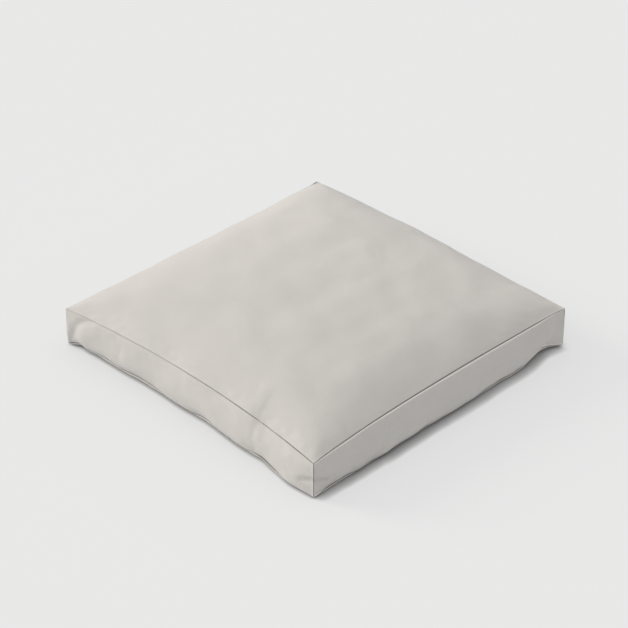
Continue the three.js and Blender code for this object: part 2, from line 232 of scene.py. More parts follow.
def sample(grid, a, b):
    """A grid of points or vectors, read smoothly at places a and b, each from 0 to 1 across it."""
    for axis, at in ((0, np.asarray(a)), (1, np.asarray(b))):
        last = grid.shape[axis] - 1
        place = np.clip(at, 0, 1) * last
        cell = np.minimum(place.astype(int), last - 1)
        t = (place - cell).reshape([-1 if k == axis else 1 for k in range(grid.ndim)])
        p0, p1, p2, p3 = (
            grid.take(np.clip(cell + k, 0, last), axis=axis) for k in (-1, 0, 1, 2)
        )
        grid = p1 + 0.5 * t * (
            p2 - p0 + t * (2 * p0 - 5 * p1 + 4 * p2 - p3 + t * (3 * (p1 - p2) + p3 - p0))
        )
    return grid


# ---- what the filling adds


NOISE_PEAK = 1.6  # the height of its bumps, in its usual deviations


def soft_noise(points, size, height, seed):
    """A smooth field of about -height to height over points, whose bumps are about size across."""
    random = np.random.default_rng(seed)
    waves = 24
    turns = random.normal(size=(waves, 3))
    lengths = size * random.uniform(0.7, 1.6, waves)
    turns *= (2 * math.pi / lengths / length_of(turns))[:, None]
    phases = random.uniform(0, 2 * math.pi, waves)
    usual = math.sqrt(waves / 2)
    return height * (np.sin(points @ turns.T + phases).sum(axis=-1) / usual / NOISE_PEAK)


# Uneven surfaces, each with the size and height of its bumps and a seed.
LUMPS = ((110 * MM, 1.1 * MM, 3), (48 * MM, 0.34 * MM, 5))  # of the fibre
BILLOWS = (85 * MM, 1.6 * MM, 11)  # of the boxing between its seams
SCALLOPS = (62 * MM, 3.2 * MM, 21)  # of the lower seam
PUCKERS = (17 * MM, 0.45 * MM, 31)  # beside each seam
PUCKER_REACH = 9 * MM
PUCKER_PEAK = 2.7  # gives the puckers their full height at their reach
BILLOW_TALL = 0.35  # of a billow's width to its height
CORNER_REACH = 5 * MM  # the folds fade out this near a corner
ZIP_REACH = 22 * MM  # the cloth lies plain this near the zip

# Folds that the cloth keeps where it was pulled: the line of each, its depth and its width. A fold
# of negative depth is a ridge.
FOLDS = (
    # the pinch in the front's top seam, over the top and down the boxing
    (((162, -289, 81), (155, -266, 90), (147, -241, 98)), 0.8, 4),
    (((172, -287, 82), (157, -250, 96)), 1.9, 20),
    (((205, -284, 83), (194, -258, 92)), 1.3, 36),
    (((122, -268, 90), (116, -240, 98)), 0.7, 9),
    (((162, -291, 78), (159, -300, 55), (158, -302, 34)), 1.0, 4.5),
    (((168, -293, 70), (166, -300, 40), (166, -298, 14)), 3.0, 33),
    (((214, -294, 64), (212, -300, 22)), 2.0, 42),
    (((144, -299, 36), (158, -301, 14)), 1.2, 4.5),
    (((168, -302, 36), (159, -301, 16)), 1.2, 4.5),
    # the puff beside the left corner
    (((-232, -298, 79), (-258, -301, 66), (-274, -302, 50), (-286, -302, 24), (-291, -300, 6)), 2.6, 7),
    (((-226, -298, 62), (-252, -300, 46), (-266, -302, 22)), -1.2, 14),
    # the dent across the near corner
    (((301, -298, 37), (303, -284, 31), (304, -272, 26)), 3.4, 4.5),
    (((303, -286, 44), (305, -268, 40)), -0.6, 8),
    (((298, -301, 37), (286, -302, 31), (274, -302, 26)), 2.4, 4.5),
    # the right side's creases
    (((307, -130, 56), (309, -140, 44), (306, -168, 12)), 2.4, 6),
    (((309, -120, 34), (307, -146, 10)), -1.2, 9),
    (((303, 288, 52), (307, 276, 34), (305, 262, 22), (300, 250, 14)), 3.0, 7),
    (((307, 258, 44), (306, 240, 24)), -1.4, 12),
    (((309, 60, 12), (311, 72, 40)), 1.2, 8),
    # the top's shoulder along the right seam
    (((226, -120, 106), (230, 110, 108)), -1.8, 42),
    (((284, -110, 86), (286, -20, 88)), 1.0, 26),
    # and small ones along the front
    (((-78, -302, 30), (-88, -298, 12)), 2.0, 6),
    (((-160, -301, 66), (-166, -302, 34)), 0.8, 9),
    (((-20, -301, 60), (-24, -302, 26)), 0.7, 10),
)


def distance_to_line(points, start, end):
    """How far each point is from the straight line between two points."""
    line = end - start
    along = np.clip((points - start) @ line / (line @ line), 0, 1)
    return length_of(points - start - along[..., None] * line)


def fold_depth(points):
    """How far each point lies down in the folds."""
    depth = np.zeros(points.shape[:-1])
    for corners, deep, wide in FOLDS:
        corners = np.array(corners) * MM
        away = [distance_to_line(points, *ends) for ends in zip(corners, corners[1:])]
        depth += deep * MM * fading(np.min(away, axis=0), wide * MM)
    return depth


def scallops(uvw, points, on_side):
    """How far the boxing moves out with its lower seam, and up where it bulges."""
    u, v, w = uvw
    below = np.clip(-w, 0, 1) * on_side
    away = np.stack([np.abs(v) < np.abs(u), np.abs(u) < np.abs(v), 0 * u], axis=-1) * np.sign(uvw.T)
    out = soft_noise(points * (1, 1, 0), *SCALLOPS) * (1 - (u * v) ** 8)
    moved = away * (out * below**2)[:, None]
    moved[:, 2] += 0.5 * np.maximum(out, 0) * below**4
    return moved


def filling(uvw, grids):
    """The surface that the filling would give the cover, with its lumps and folds."""
    points = filled_shape(*uvw)
    u, v, w = uvw
    on_side = np.maximum(np.abs(u), np.abs(v)) > ON_SIDE
    corner = np.linalg.norm((1 - np.abs(uvw[:2])) * HALF, axis=0)
    height = -fold_depth(points) * (1 - fading(corner, CORNER_REACH))
    for lump in LUMPS:
        height = height + soft_noise(points, *lump)
    height += soft_noise(points * (1, 1, BILLOW_TALL), *BILLOWS) * on_side * (1 - w**2)
    to_edges = np.sort((1 - np.abs(uvw.T)) * (HALF, HALF, TOP_CORNER / 2), axis=1)
    by_seam = to_edges[:, 1] / PUCKER_REACH
    height += soft_noise(points, *PUCKERS) * PUCKER_PEAK * by_seam * np.exp(-by_seam)
    by_zip = (v > NEAR_BACK) * fading(points[:, 2] - ZIP_Z, ZIP_REACH)
    shaped = points + cover_normals(points, grids) * (height * (1 - by_zip))[:, None]
    return shaped + scallops(uvw, points, on_side)


# ---- the cloth settles

# The cloth's stiffness over a step of each kind: along its yarns, and across them.
STRETCH = (((1, 0), 1.0), ((0, 1), 1.0), ((1, 1), 0.35), ((1, -1), 0.35))
FILL_FIRMNESS = 0.05
BENDING = 0.8 / 32  # 1 / 32 is the most that stays steady
MOMENTUM = 0.85
OVERSTEP = 1.4


def offset_pair(step):
    """The two slices of a grid that hold each point and the point a step away from it."""
    da, db = step
    a0, a1 = slice(None, -da or None), slice(da, None)
    b0 = slice(None, -db) if db > 0 else slice(-db, None)
    b1 = slice(db, None) if db > 0 else slice(None, db or None)
    return (a0, b0), (a1, b1)


def rest_lengths(shape, step, size):
    """The cloth's own distances over one step of a side, shorter along the stitches."""
    here, _ = offset_pair(step)
    length = np.full(shape, math.hypot(step[0] * size[0], step[1] * size[1]) * (1 + EASE))
    along_seam = np.zeros(shape, bool)
    if step == (1, 0):
        along_seam[:, [0, -1]] = True
    if step == (0, 1):
        along_seam[[0, -1], :] = True
    length[along_seam] *= 1 - GATHER
    return length[here]


def tie(goal, grids):
    """The ties between the cloth's points, with their rest lengths, and the hold on each point."""
    ties = []
    hold = np.full(len(goal), FILL_FIRMNESS)
    for grid in grids.values():
        size = [length_of(np.diff(goal[grid], axis=axis)).mean() for axis in (0, 1)]
        for step, stiff in STRETCH:
            here, there = offset_pair(step)
            rest = rest_lengths(grid.shape, step, size)[..., None]
            ties.append((grid[here], grid[there], rest, stiff))
            np.add.at(hold, grid[here], stiff)
            np.add.at(hold, grid[there], stiff)
    return ties, hold


def pull_on(points, goal, ties):
    """The pull of the filling and of the cloth's ties on each point."""
    pull = FILL_FIRMNESS * (goal - points)
    for here, there, rest, stiff in ties:
        gap = points[there] - points[here]
        length = length_of(gap, keepdims=True)
        move = gap * (0.5 * stiff * (1 - rest / length))
        pull[here] += move
        pull[there] -= move
    return pull


def soften(moved, goal, grids):
    """Takes some of the sharpest bends out of the cloth."""
    away = moved - goal
    for grid in grids.values():
        field = away[grid]
        bend = np.zeros_like(field)
        for axis in (0, 1):
            rows = np.moveaxis(field, axis, 0)
            curve = rows[:-4] - 4 * rows[1:-3] + 6 * rows[2:-2] - 4 * rows[3:-1] + rows[4:]
            np.moveaxis(bend, axis, 0)[2:-2] += curve
        moved[grid] -= BENDING * bend


def settle(points, goal, grids, held, rounds):
    """Relaxes the cloth over its filling: it keeps its lengths, and its bends stay soft."""
    ties, hold = tie(goal, grids)
    before = points.copy()
    for _ in range(rounds):
        step = pull_on(points, goal, ties) / hold[:, None] * OVERSTEP
        moved = points + step + MOMENTUM * (points - before)
        soften(moved, goal, grids)
        moved[held] = goal[held]
        moved[:, 2] = np.maximum(moved[:, 2], 0)
        before, points = points, moved
    return points


def settled_cover():
    """The whole cover at rest, on the finest lattice: its points, normals and sides' grids."""
    sides = None
    for n, m, rounds in SETTLING:
        uvw, grids = lattice(n, m)
        goal = filling(uvw, grids)
        points = goal.copy()
        if sides is not None:
            for side, grid in grids.items():
                a, b = (np.linspace(0, 1, count) for count in grid.shape)
                points[grid] = goal[grid] + sample(sides[side], a, b)
        zip_line = np.abs(goal[:, 2] - ZIP_Z) < ZIP_SLOT + 3 * MM
        held = zip_line & (uvw[1] > ON_SIDE)
        points = settle(points, goal, grids, held, rounds)
        sides = {side: (points - goal)[grid] for side, grid in grids.items()}
    return points, cover_normals(points, grids), grids


points, normals, grids = settled_cover()

# ---- mesh helpers


def quads_of(shape, start=0, flip=False):
    """The quads of a grid of vertices numbered row by row from start."""
    number = np.arange(shape[0] * shape[1]).reshape(shape) + start
    loop = (number[:-1, :-1], number[1:, :-1], number[1:, 1:], number[:-1, 1:])
    return np.stack(loop[::-1] if flip else loop, axis=-1).reshape(-1, 4)


def rim_quads(shape):
    """The quads that join the edges of a grid to those of its copy, which is numbered after it."""
    number = np.arange(shape[0] * shape[1]).reshape(shape)
    ring = np.concatenate([number[:-1, 0], number[-1, :-1], number[:0:-1, -1], number[0, :0:-1]])
    after = np.roll(ring, -1)
    copy = shape[0] * shape[1]
    return np.stack([after, ring, ring + copy, after + copy], axis=-1)


def sheet_mesh(outer, thick):
    """Vertices and faces of a cloth with a thickness, from the grid of its outer face."""
    inner = outer - thick * grid_normals(outer)
    shape = outer.shape[:2]
    count = shape[0] * shape[1]
    faces = np.concatenate([quads_of(shape), quads_of(shape, count, True), rim_quads(shape)])
    return np.concatenate([outer.reshape(-1, 3), inner.reshape(-1, 3)]), faces.tolist()


def distances(paths):
    """How far along its path each point is, for an array of (path, point, xyz)."""
    return np.cumsum(length_of(np.diff(paths, axis=1, prepend=paths[:, :1])), axis=1)


TUBE_SIDES = 6


def tube_mesh(paths, facing, radius):
    """Vertices, faces and pattern of closed tubes along paths, an array of (tube, ring, xyz)."""
    tangent = unit(np.gradient(paths, axis=1))
    across = unit(np.cross(tangent, facing))
    out = np.cross(across, tangent)
    turn = np.arange(TUBE_SIDES) * 2 * math.pi / TUBE_SIDES
    spokes = np.cos(turn)[:, None] * across[:, :, None] + np.sin(turn)[:, None] * out[:, :, None]
    vertices = paths[:, :, None] + radius * spokes
    number = np.arange(vertices[..., 0].size).reshape(vertices.shape[:3])
    after = np.roll(number, -1, axis=2)
    loop = (number[:, :-1], number[:, 1:], after[:, 1:], after[:, :-1])
    faces = np.stack(loop, axis=-1).reshape(-1, 4).tolist()
    faces += number[:, 0].tolist() + number[:, -1, ::-1].tolist()
    along = np.broadcast_to(distances(paths)[..., None], number.shape)
    around = np.broadcast_to(turn, number.shape)
    pattern = np.stack([along, around * MM, 0 * along], axis=-1)
    return vertices.reshape(-1, 3), faces, pattern.reshape(-1, 3)


def add_object(name, data):
    """A new object in the scene."""
    made = bpy.data.objects.new(name, data)
    bpy.context.scene.collection.objects.link(made)
    return made


def make_piece(name, mesh_data, slot, replaced, body="cushion"):
    """A smooth mesh that rides on a CAD body, has a slot's look and stands for a CAD node.

    mesh_data is its vertices, its faces, and where each vertex is in the material's pattern.
    """
    vertices, faces, pattern = mesh_data
    mesh = bpy.data.meshes.new(name)
    mesh.from_pydata(np.asarray(vertices).tolist(), [], faces)
    mesh.polygons.foreach_set("use_smooth", np.ones(len(mesh.polygons), bool))
    attribute = mesh.attributes.new("pattern", "FLOAT_VECTOR", "POINT")
    attribute.data.foreach_set("vector", np.asarray(pattern, np.float32).ravel())
    mesh.materials.append(looks[slot])
    mesh.update()
    piece = add_object(name, mesh)
    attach(piece, body)
    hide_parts(replaced)
    return piece


# ---- materials


def feed(made, inputs):
    """Gives a node its inputs, each of them a value or another node's output."""
    for key, value in inputs.items():
        if isinstance(value, bpy.types.NodeSocket):
            made.id_data.links.new(value, made.inputs[key])
        else:
            made.inputs[key].default_value = value


def node(beside, kind, inputs, **settings):
    """A new shader node, in the same tree as the node or socket that it goes beside."""
    made = beside.id_data.nodes.new("ShaderNode" + kind)
    for key, value in settings.items():
        setattr(made, key, value)
    feed(made, inputs)
    return made


def new_material(name):
    """An empty node material and its shader."""
    material = bpy.data.materials.new(name)
    material.use_nodes = True
    return material, material.node_tree.nodes["Principled BSDF"]


def math_node(operation, a, b=0.0):
    """The result of an operation on one or two values."""
    return node(a, "Math", {0: a, 1: b}, operation=operation).outputs[0]


def product(*factors):
    """The product of several values."""
    whole = factors[0]
    for factor in factors[1:]:
        whole = math_node("MULTIPLY", whole, factor)
    return whole


def mapped(value, low, high, to_low, to_high):
    """A value from low to high, mapped to a range and held inside it."""
    ends = {"From Min": low, "From Max": high, "To Min": to_low, "To Max": to_high}
    return node(value, "MapRange", {"Value": value, **ends}).outputs[0]


def noise(where, scale, detail=2.0):
    """A cloudy texture, from 0 to 1."""
    inputs = {"Vector": where, "Scale": scale, "Detail": detail}
    return node(where, "TexNoise", inputs).outputs["Fac"]


def drawn_out(where, stretch):
    """Coordinates scaled by stretch, so that a texture over them is drawn out along an axis."""
    return node(where, "VectorMath", {0: where, 1: stretch}, operation="MULTIPLY").outputs[0]


def shifted(where, offset):
    """Coordinates moved by an offset, for a texture unlike the one in place."""
    return node(where, "VectorMath", {0: where, 1: (offset,) * 3}).outputs[0]


def attribute(shader, name):
    """The node that reads a piece's attribute."""
    return node(shader, "Attribute", {}, attribute_name=name)


def pattern_axes(shader):
    """The pattern coordinates of a piece, whole and as their three axes."""
    where = attribute(shader, "pattern").outputs["Vector"]
    return where, *node(shader, "SeparateXYZ", {0: where}).outputs


def tinted(colour, tone):
    """A colour made lighter and darker by a tone of about 1."""
    inputs = {"Factor": 1.0, "A": (*colour, 1), "B": tone}
    return node(tone, "Mix", inputs, data_type="RGBA", blend_type="MULTIPLY").outputs["Result"]


def relief(height, distance, strength=0.6):
    """A fine relief, as deep as a distance."""
    inputs = {"Height": height, "Strength": strength, "Distance": distance}
    return node(height, "Bump", inputs).outputs[0]


def yarn_wave(axis, yarn):
    """A wave from -1 to 1 with the length of a yarn."""
    return math_node("SINE", math_node("MULTIPLY", axis, 2 * math.pi / yarn))


EDGE_HIGHLIGHT = 1.5  # how much paler the painted highlight makes the cloth just past a marked seam


def plain_weave(where, x, y, yarn):
    """Yarns that cross over and under each other, each wavering a little."""
    waver = [noise(shifted(where, offset), 0.1 / yarn) for offset in (0.0, 3.0)]
    crossing = [
        yarn_wave(math_node("ADD", axis, product(by, 2.5 * yarn)), yarn)
        for axis, by in zip((x, y), waver)
    ]
    return product(*crossing)


def woven(shader, colour, yarn, weave_height, mottle=0.03, sheen=0.25, herringbone=False):
    """Woven cloth: crossing yarns of uneven thickness, a soft mottle and a little sheen, with painted
    shade in its seams' grooves, a painted highlight along marked seams and faint painted shade between
    its yarns.
    """
    where, x, y, seam = pattern_axes(shader)
    if herringbone:
        weave = yarn_wave(math_node("ADD", x, math_node("PINGPONG", y, 3.2 * MM)), yarn)
    else:
        weave = plain_weave(where, x, y, yarn)
    slubs = [
        noise(drawn_out(where, stretch), 0.35 / yarn)
        for stretch in ((1.0, 0.06, 1.0), (0.06, 1.0, 1.0))
    ]
    uneven = math_node("ADD", *slubs)
    # A painted highlight along the marked seams, where the boxing's rolled edge would catch the light.
    edge = mapped(seam, 0.0, MM, 0.0, 1.0), mapped(seam, 1.6 * MM, 4.2 * MM, 1.0, 0.0)
    painted_highlight = product(attribute(shader, "painted_highlight").outputs["Fac"], *edge)
    tone = product(
        mapped(noise(where, 14.0, 4.0), 0.0, 1.0, 1 - mottle, 1 + mottle),
        mapped(uneven, 0.0, 2.0, 0.95, 1.05),
        # faint painted shade between the yarns, lighter on their crowns
        mapped(weave, -1.0, 1.0, 0.98, 1.02),
        mapped(seam, 0.45 * MM, 1.5 * MM, 0.18, 1.0),  # painted shade inside the seam's groove
        # the painted highlight along the marked seams
        mapped(painted_highlight, 0.0, 1.0, 1.0, EDGE_HIGHLIGHT),
    )
    height = math_node("ADD", math_node("MULTIPLY", weave, 0.8), uneven)
    return {
        "Base Color": tinted(colour, tone),
        "Roughness": mapped(uneven, 0.0, 2.0, 0.82, 0.98),
        "Normal": relief(height, weave_height, 0.75),
        "Specular IOR Level": 0.25,
        "Sheen Weight": sheen,
        "Sheen Roughness": 0.5,
    }


def twisted_thread(shader, colour):
    """Two plies of thread twisted together."""
    where, x, y, _ = pattern_axes(shader)
    ply = yarn_wave(math_node("ADD", x, math_node("MULTIPLY", y, 0.6)), 0.6 * MM)
    fibres = noise(where, 2500.0)
    return {
        "Base Color": tinted(colour, mapped(ply, -1.0, 1.0, 0.82, 1.04)),
        "Roughness": mapped(fibres, 0.0, 1.0, 0.5, 0.75),
        "Normal": relief(math_node("ADD", ply, fibres), 0.08 * MM),
        "Sheen Weight": 0.2,
    }


def nylon(shader, colour):
    """Glossy moulded filament with faint draw lines."""
    where, *_ = pattern_axes(shader)
    lines = noise(drawn_out(where, (0.05, 1.0, 1.0)), 3000.0)
    return {
        "Base Color": tinted(colour, mapped(noise(where, 300.0), 0.3, 0.7, 0.94, 1.04)),
        "Roughness": mapped(lines, 0.2, 0.8, 0.3, 0.5),
        "Normal": relief(lines, 0.02 * MM, 0.4),
    }


def plated_metal(shader, colour):
    """Nickel plate, brushed along the zip and scuffed unevenly."""
    where = node(shader, "TexCoord", {}).outputs["Object"]
    brushed = noise(drawn_out(where, (0.05, 1.0, 1.0)), 5000.0, 3.0)
    scuffs = noise(where, 450.0, 4.0)
    return {
        "Base Color": tinted(colour, mapped(scuffs, 0.3, 0.7, 0.86, 1.04)),
        "Roughness": mapped(math_node("ADD", brushed, scuffs), 0.6, 1.4, 0.16, 0.4),
        "Normal": relief(brushed, 0.01 * MM, 0.5),
        "Metallic": 1.0,
    }


def matted_fibre(shader, colour):
    """Polyester wadding: fine fibres matted every way."""
    where, *_ = pattern_axes(shader)
    strands = [
        noise(drawn_out(where, stretch), 900.0, 4.0)
        for stretch in ((0.15, 1.0, 1.0), (1.0, 0.15, 1.0), (0.5, 0.5, 1.0))
    ]
    mat = math_node("ADD", math_node("ADD", *strands[:2]), strands[2])
    return {
        "Base Color": tinted(colour, mapped(mat, 1.1, 1.9, 0.88, 1.03)),
        "Roughness": mapped(mat, 1.1, 1.9, 1.0, 0.85),
        "Normal": relief(mat, 0.8 * MM, 0.9),
        "Sheen Weight": 0.6,
        "Subsurface Weight": 0.15,
        "Subsurface Scale": 2 * MM,
    }


def cut_foam(shader, colour):
    """Polyurethane foam: open cells on its cut faces."""
    where = node(shader, "TexCoord", {}).outputs["Object"]
    cells = node(where, "TexVoronoi", {"Vector": where, "Scale": 700.0}).outputs["Distance"]
    pores = mapped(cells, 0.1, 0.7, 0.84, 1.02)
    cloud = mapped(noise(where, 25.0, 3.0), 0.3, 0.7, 0.95, 1.03)
    return {
        "Base Color": tinted(colour, product(pores, cloud)),
        "Roughness": mapped(cells, 0.0, 0.8, 1.0, 0.85),
        "Normal": relief(cells, 0.4 * MM, 0.8),
        "Specular IOR Level": 0.2,
    }


# What each of the record's slots looks like.
FINISHES = {
    "cover_fabric": (woven, (0.643, 0.622, 0.588), 0.8 * MM, 0.16 * MM),
    "seam_thread": (twisted_thread, (0.50, 0.48, 0.45)),
    "lining_cloth": (woven, (0.80, 0.78, 0.74), 0.5 * MM, 0.06 * MM, 0.02, 0.1),
    "zip_tape": (woven, (0.50, 0.48, 0.45), 0.9 * MM, 0.15 * MM, 0.02, 0.15, True),
    "zip_coil": (nylon, (0.45, 0.43, 0.40)),
    "zip_metal": (plated_metal, (0.50, 0.50, 0.49)),
    "fibre_wrap": (matted_fibre, (0.88, 0.88, 0.87)),
    "foam": (cut_foam, (0.82, 0.74, 0.55)),
}
looks = {}
for slot, (finish, *how) in FINISHES.items():
    looks[slot], shader = new_material(slot)
    feed(shader, finish(shader, *how))

# ---- the cover's panels

SEAM_STEPS = [-SEAM_ALLOWANCE, -SEAM_ALLOWANCE / 2, -MM, 0]
PLAIN_FROM = 9 * MM  # past here a panel's stations are evenly spaced


def seam_stations():
    """Distances from a seam, closer where the cloth turns in. Those below 0 are inside the seam."""
    turn = SEAM_ROLL * (1 - np.cos(np.linspace(0, math.pi / 2, 6)))[1:-1]
    return np.concatenate([SEAM_STEPS, turn, np.array([2.3, 3.0, 4.2, 6.2]) * MM])


def stations(length):
    """Distances along a panel from one seam to the other."""
    edge = seam_stations()
    count = max(2, round((length - 2 * PLAIN_FROM) / FINE_CELL))
    return np.concatenate(
        [edge, np.linspace(PLAIN_FROM, length - PLAIN_FROM, count + 1), length - edge[::-1]]
    )


def roll_depth(distance):
    """How far the cloth lies below the plain surface, at some distance from the seam."""
    inside = np.clip(1 - distance / SEAM_ROLL, 0, 1)
    return SEAM_ROLL * (1 - np.sqrt(1 - inside**2)) + np.maximum(-distance, 0)


def surface(side, a, b):
    """Points and unit normals of a side of the settled cover, at places a and b from 0 to 1."""
    return sample(points[grids[side]], a, b), unit(sample(normals[grids[side]], a, b))


def side_lengths(side):
    """The mean lengths of a side of the cover, along it and up it."""
    steps = [length_of(np.diff(points[grids[side]], axis=axis)) for axis in (0, 1)]
    return [step.sum(axis=axis).mean() for axis, step in enumerate(steps)]


def towards_middle(plain):
    """Unit vectors in a panel's surface, pointing to its middle."""
    normal = grid_normals(plain)
    away = plain.mean(axis=(0, 1)) - plain
    return unit(away - normal * (away * normal).sum(axis=-1, keepdims=True))


def sheet_pattern(first, second, from_seam):
    """Pattern coordinates for both faces of a sheet: along it, up it and from its seams."""
    face = np.stack([first, second, np.maximum(from_seam, 0)], axis=-1).reshape(-1, 3)
    return np.concatenate([face, face])


# The painted shade in the groove of the front's top seam is paler towards the left, where the light
# falls into the groove. It is at its palest up to the first x and at its darkest from the second, and
# at its palest it is read this much further from the seam.
GROOVE_SHADE_FADE = {"x": (-60 * MM, 180 * MM), "loses": 0.7 * MM}
GROOVE_SHADE_REACH = 40 * MM, 20 * MM  # back from the front's corners, and down from the top's


def painted_groove_fade(plain):
    """How much further from its seam each of a panel's points is read for the painted groove shade,
    which pales towards the front's left.
    """
    x, y, z = np.moveaxis(plain, -1, 0)
    back, down = GROOVE_SHADE_REACH
    share = np.interp(x, GROOVE_SHADE_FADE["x"], (1, 0))
    return GROOVE_SHADE_FADE["loses"] * share * (y < -HALF + back) * (z > TOP_CORNER - down)


def panel_piece(name, side, replaced):
    """One panel of the cover, turned in along all its seams."""
    lengths = side_lengths(side)
    places = [stations(length) for length in lengths]
    plain, facing = surface(side, *(place / length for place, length in zip(places, lengths)))
    to_seams = [np.minimum(place, length - place) for place, length in zip(places, lengths)]
    from_seam = np.minimum(*np.meshgrid(*to_seams, indexing="ij"))
    outer = plain - facing * roll_depth(from_seam)[..., None] + SEAM_CLEAR * towards_middle(plain)
    # The painted groove shade and highlight read the distance from the seam, pushed out along the
    # front's top seam.
    pattern = sheet_pattern(*np.meshgrid(*places, indexing="ij"), from_seam + painted_groove_fade(plain))
    mesh_data = (*sheet_mesh(outer, CLOTH_THICK), pattern)
    return make_piece(name, mesh_data, "cover_fabric", replaced), to_seams


def mark_painted_highlight(piece, to_seams):
    """Marks a panel for a painted highlight along its seams above and below."""
    along, up = np.meshgrid(*to_seams, indexing="ij")
    share = np.tile((up < along).ravel(), 2).astype(np.float32)
    piece.data.attributes.new("painted_highlight", "FLOAT", "POINT").data.foreach_set("value", share)


for side in ("top", "bottom"):
    panel_piece(f"{side}_panel_cloth", side, f"{side}_panel")
for side in ("front", "left"):
    panel_piece(f"band_{side}_cloth", side, f"band_{side}")
# The right boxing gets a painted highlight below its top seam and above its bottom seam.
mark_painted_highlight(*panel_piece("band_right_cloth", "right", "band_right"))

# ---- the strips beside the zip

FOLD_RADIUS = 0.85 * MM
HEM = 8 * MM
ZIP_LIFT = 0.8 * MM  # how far a hem stands proud along the zip
LIFT_ENDS = 26 * MM  # over which it rises from each end
LIFT_REACH = 14 * MM  # and falls away from the fold
FOLD_CELL = 2 * MM
COLUMN_SAMPLES = 241
SLOT_CLOSED = 0.5 * MM  # half the gap between the strips past the zip's ends
SLOT_ENDS = (7 * MM, 25 * MM)  # from the corner seams: closed up to the first, open from the second


def by_columns(values, keys, at):
    """For each row of a grid, its values at the places where that row's keys equal at."""
    rows = [[np.interp(*row[:2], axis) for axis in row[2].T] for row in zip(at, keys, values)]
    return np.moveaxis(rows, 1, 2)


def zip_lift(run, length, from_fold):
    """How far a strip stands proud of the plain band, at a distance along it and from its fold."""
    ends = np.clip(np.minimum(run, length - run) / LIFT_ENDS, 0, 1)
    return ZIP_LIFT * ends[:, None] * fading(from_fold, LIFT_REACH)


def slot_half(run, length):
    """Half the width of the slot between the strips, which closes at both ends of the zip."""
    start, end = SLOT_ENDS
    t = np.clip((np.minimum(run, length - run) - start) / (end - start), 0, 1)
    return SLOT_CLOSED + (ZIP_SLOT - SLOT_CLOSED) * t * t * (3 - 2 * t)


def back_at(places, heights):
    """Points and normals of the plain back at places along it, one row of heights for each place."""
    plain, facing = surface("back", places, np.linspace(0, 1, COLUMN_SAMPLES))
    heights = np.broadcast_to(heights, (len(places), np.shape(heights)[-1]))
    keys = plain[..., 2]
    return by_columns(plain, keys, heights), unit(by_columns(facing, keys, heights))


def columns_to_zip(run, length, sign):
    """The back's points and normals from a strip's seam on past the zip, in columns along it.

    Also returns how far along its column each point is, and how far along each the fold is.
    """
    columns, facing = surface("back", run / length, np.linspace(0, 1, COLUMN_SAMPLES))
    if sign > 0:
        columns, facing = columns[:, ::-1], facing[:, ::-1]
    travel = distances(columns)
    heights = (ZIP_Z + sign * slot_half(run, length)) * -sign
    rise = columns[..., 2] * -sign
    fold = np.array([np.interp(*row) for row in zip(heights, rise, travel)])[:, None]
    return columns, facing, travel, fold


def strip_piece(half, sign):
    """The strip above or below the zip: sewn in at three sides, and folded under along the zip."""
    length = side_lengths("back")[0]
    run = stations(length)
    columns, facing, travel, fold = columns_to_zip(run, length, sign)

    flat_end = fold.mean() - FOLD_RADIUS
    count = round((flat_end - PLAIN_FROM) / FOLD_CELL)
    flat = np.concatenate([seam_stations(), np.linspace(PLAIN_FROM, flat_end, count + 1)])
    turn = np.linspace(0, math.pi, 8)[1:]
    hem = HEM * np.array([0.3, 0.65, 1])
    to_fold = (fold - FOLD_RADIUS - PLAIN_FROM) / (flat_end - PLAIN_FROM)
    at = np.where(flat > PLAIN_FROM, PLAIN_FROM + (flat - PLAIN_FROM) * to_fold, flat)
    ends = np.minimum(run, length - run)[:, None]

    def layer(place, inside=0.0):
        """The strip's points and normals at places down its columns, or inside the fold there."""
        depth = inside + roll_depth(np.minimum(ends, place))
        lifted = zip_lift(run, length, fold - place) - depth
        normal = unit(by_columns(facing, travel, place))
        return by_columns(columns, travel, place) + normal * lifted[..., None], normal

    outer, _ = layer(at)
    nose, normal = layer(np.repeat(fold - FOLD_RADIUS, len(turn), axis=1))
    ahead = np.array([0, 0, -sign])
    curl = normal * (np.cos(turn) - 1)[:, None] + ahead * np.sin(turn)[:, None]
    under, _ = layer(fold - FOLD_RADIUS - hem, 2 * FOLD_RADIUS)
    outer = np.concatenate([outer, nose + FOLD_RADIUS * curl, under], axis=1)
    outer += SEAM_CLEAR * ahead

    turned = flat_end + FOLD_RADIUS * np.append(turn, math.pi + hem / FOLD_RADIUS)
    first, second = np.meshgrid(run, np.concatenate([flat, turned]), indexing="ij")
    edge = np.minimum(ends, np.minimum(second, np.abs(second - flat_end)))
    if sign > 0:
        outer, first, second, edge = (grid[:, ::-1] for grid in (outer, first, second, edge))
    mesh = (*sheet_mesh(outer, CLOTH_THICK), sheet_pattern(first, second, edge))
    make_piece(f"zip_band_{half}_cloth", mesh, "cover_fabric", f"zip_band_{half}")


HALVES = (("upper", 1), ("lower", -1))  # above and below the zip's line

for half, sign in HALVES:
    strip_piece(half, sign)

# ---- threads

# The stitches of a seam and of the zip's rows: their pitch, the thread's radius, how much of the half
# pitch shows, and how far it lies above the cloth and dips into it.
SEAM_STITCH = (3.0 * MM, 0.3 * MM, 0.47, -1.2 * MM, 0.5 * MM)
ZIP_STITCH = (3.2 * MM, 0.25 * MM, 0.44, 0.18 * MM, 0.55 * MM)
TOPSTITCH_FROM_FOLD = 2.5 * MM
TOPSTITCH_ENDS = 3 * MM  # from each corner seam


